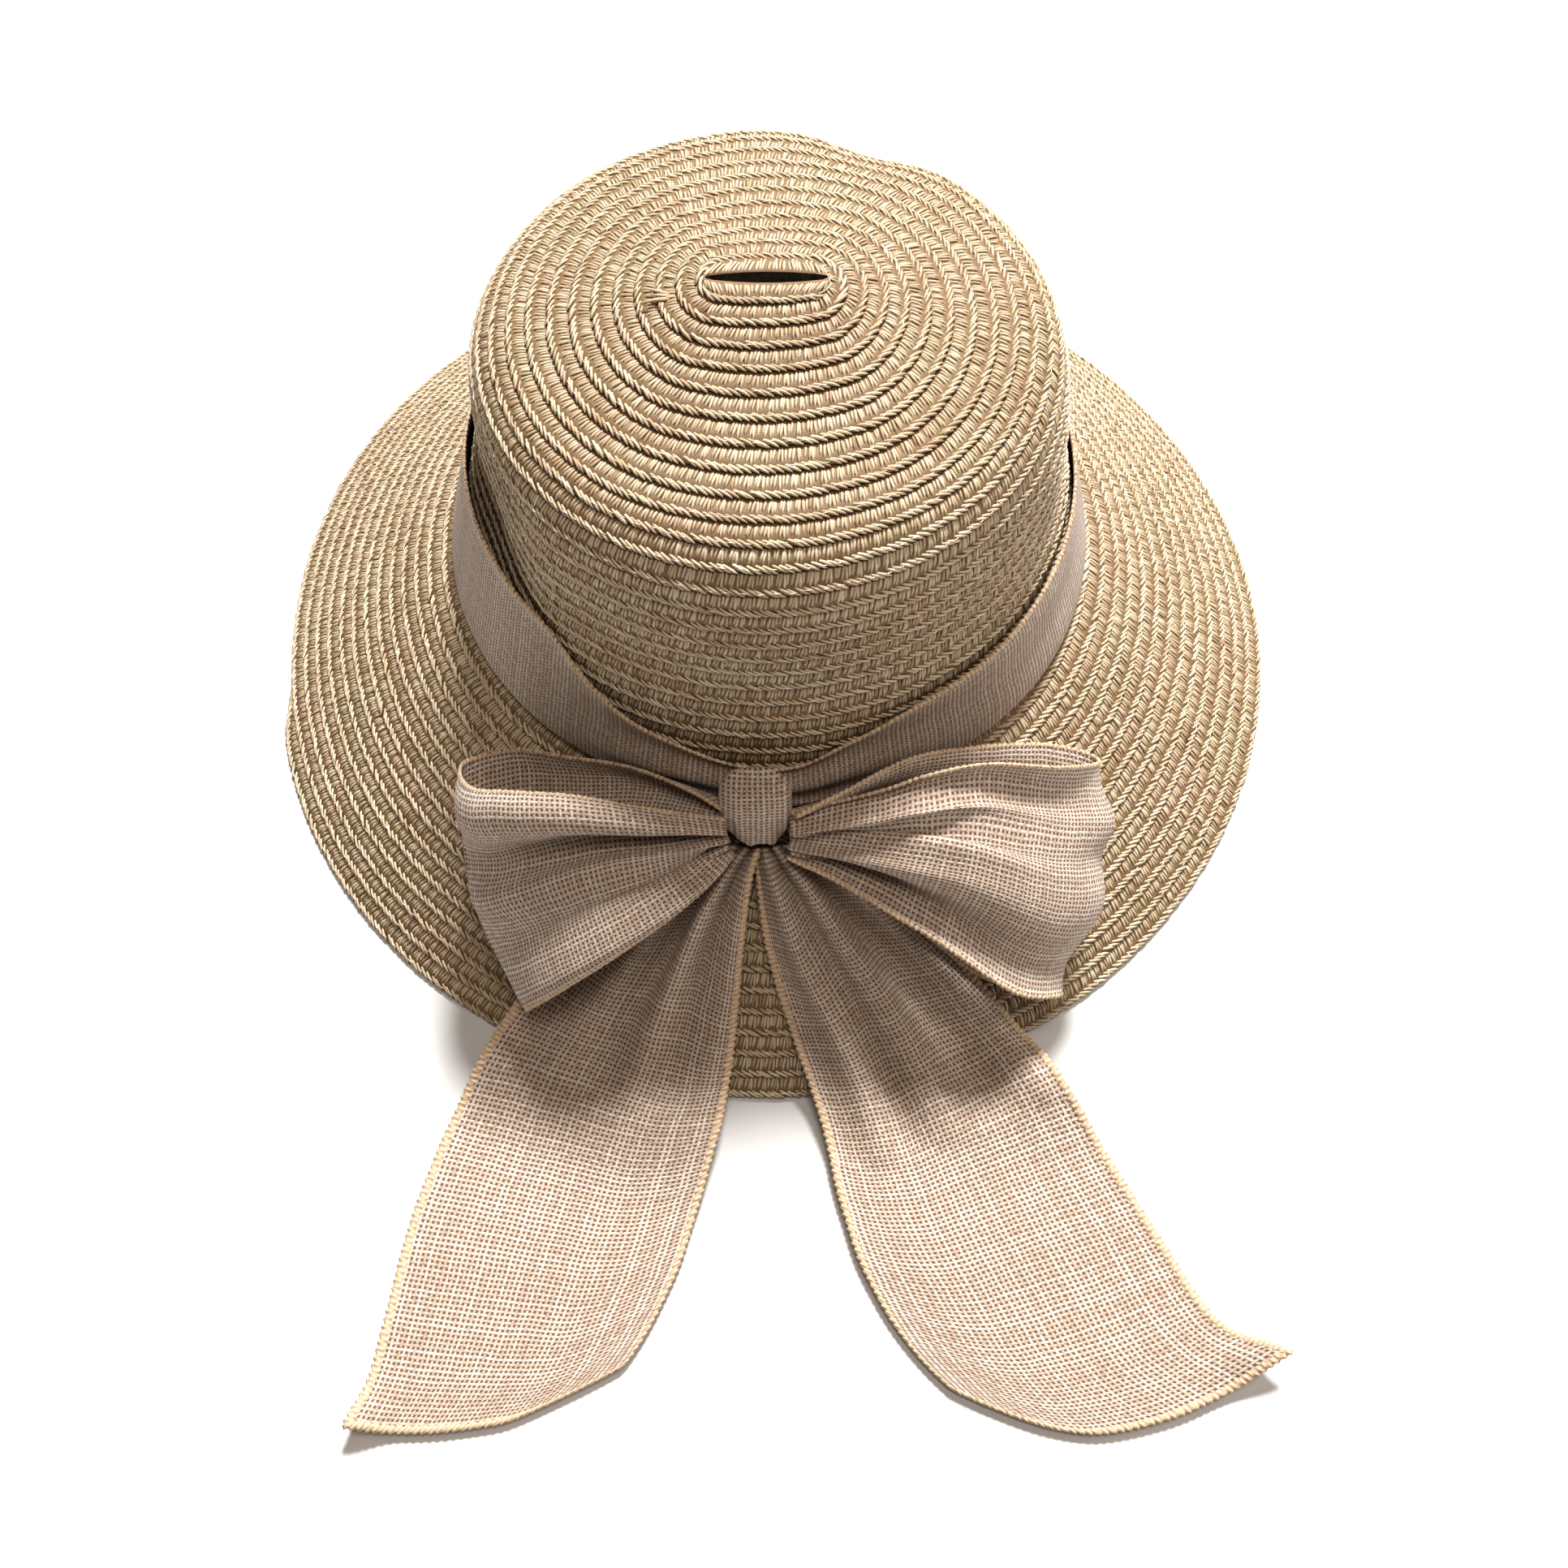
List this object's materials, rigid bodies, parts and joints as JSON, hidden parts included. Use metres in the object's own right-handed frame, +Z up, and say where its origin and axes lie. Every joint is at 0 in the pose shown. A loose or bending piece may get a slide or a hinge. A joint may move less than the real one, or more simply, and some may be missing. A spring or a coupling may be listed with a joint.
{
  "type": "braided straw sun hat",
  "caption": "Sun hat of spirally sewn straw braid, with a low domed crown, a sloping brim and a wide woven ribbon tied in a front bow with hanging tails.",
  "frame": {"origin": "on the crown's axis, in the plane of the head opening, where the crown wall meets the brim; the hat rests on a surface 59 mm below it", "axes": "+Z up through the crown, -Y towards the bow at the front, +X to the right of a person who faces the bow"},
  "size_m": [0.3138, 0.4109, 0.1675],
  "materials": {
    "straw_braid": "flat plaited paper straw, matte with a slight sheen on each strand",
    "clear_thread": "clear nylon sewing thread, glossy",
    "sweatband_tape": "woven cotton tape, matte",
    "sweatband_thread": "cotton sewing thread",
    "ribbon_cloth": "open plain weave of slubby linen-like yarn, matte",
    "ribbon_hem": "overlocked edge in cream thread"
  },
  "bodies": {
    "hat": {"crown_tip": "straw_braid", "crown_wall": "straw_braid", "brim": "straw_braid", "brim_edge_row": "straw_braid", "braid_start_tab": "straw_braid", "tip_sewing_thread": "clear_thread", "wall_sewing_thread": "clear_thread", "brim_sewing_thread": "clear_thread", "sweatband": "sweatband_tape", "sweatband_thread": "sweatband_thread"},
    "ribbon": {"ribbon_band": "ribbon_cloth", "bow_knot": "ribbon_cloth", "left_tail_upper": "ribbon_cloth", "right_tail_upper": "ribbon_cloth"},
    "left_loop": {"left_loop": "ribbon_cloth"},
    "right_loop": {"right_loop": "ribbon_cloth"},
    "left_tail": {"left_tail_lower": "ribbon_cloth", "left_tail_hem": "ribbon_hem"},
    "right_tail": {"right_tail_lower": "ribbon_cloth", "right_tail_hem": "ribbon_hem"}
  },
  "joints": [
    {"name": "ribbon_turn", "type": "hinge", "parent": "hat", "child": "ribbon", "pos_m": [0, 0, 0], "axis": [0, 0, 1], "continuous": true},
    {"name": "left_loop_lift", "type": "hinge", "parent": "ribbon", "child": "left_loop", "pos_m": [-0.0142, -0.105, 0.009], "axis": [-0.2861, 0.7896, 0.5429], "range_deg": [0, 25]},
    {"name": "right_loop_lift", "type": "hinge", "parent": "ribbon", "child": "right_loop", "pos_m": [0.0082, -0.105, 0.009], "axis": [-0.2375, -0.7877, -0.5685], "range_deg": [0, 25]},
    {"name": "left_tail_fold", "type": "hinge", "parent": "ribbon", "child": "left_tail", "pos_m": [-0.04084, -0.15242, -0.0584], "axis": [-0.9659, 0.2588, 0], "range_deg": [-75, 60]},
    {"name": "right_tail_fold", "type": "hinge", "parent": "ribbon", "child": "right_tail", "pos_m": [0.05397, -0.14828, -0.0584], "axis": [-0.9397, -0.342, 0], "range_deg": [-75, 60]}
  ]
}
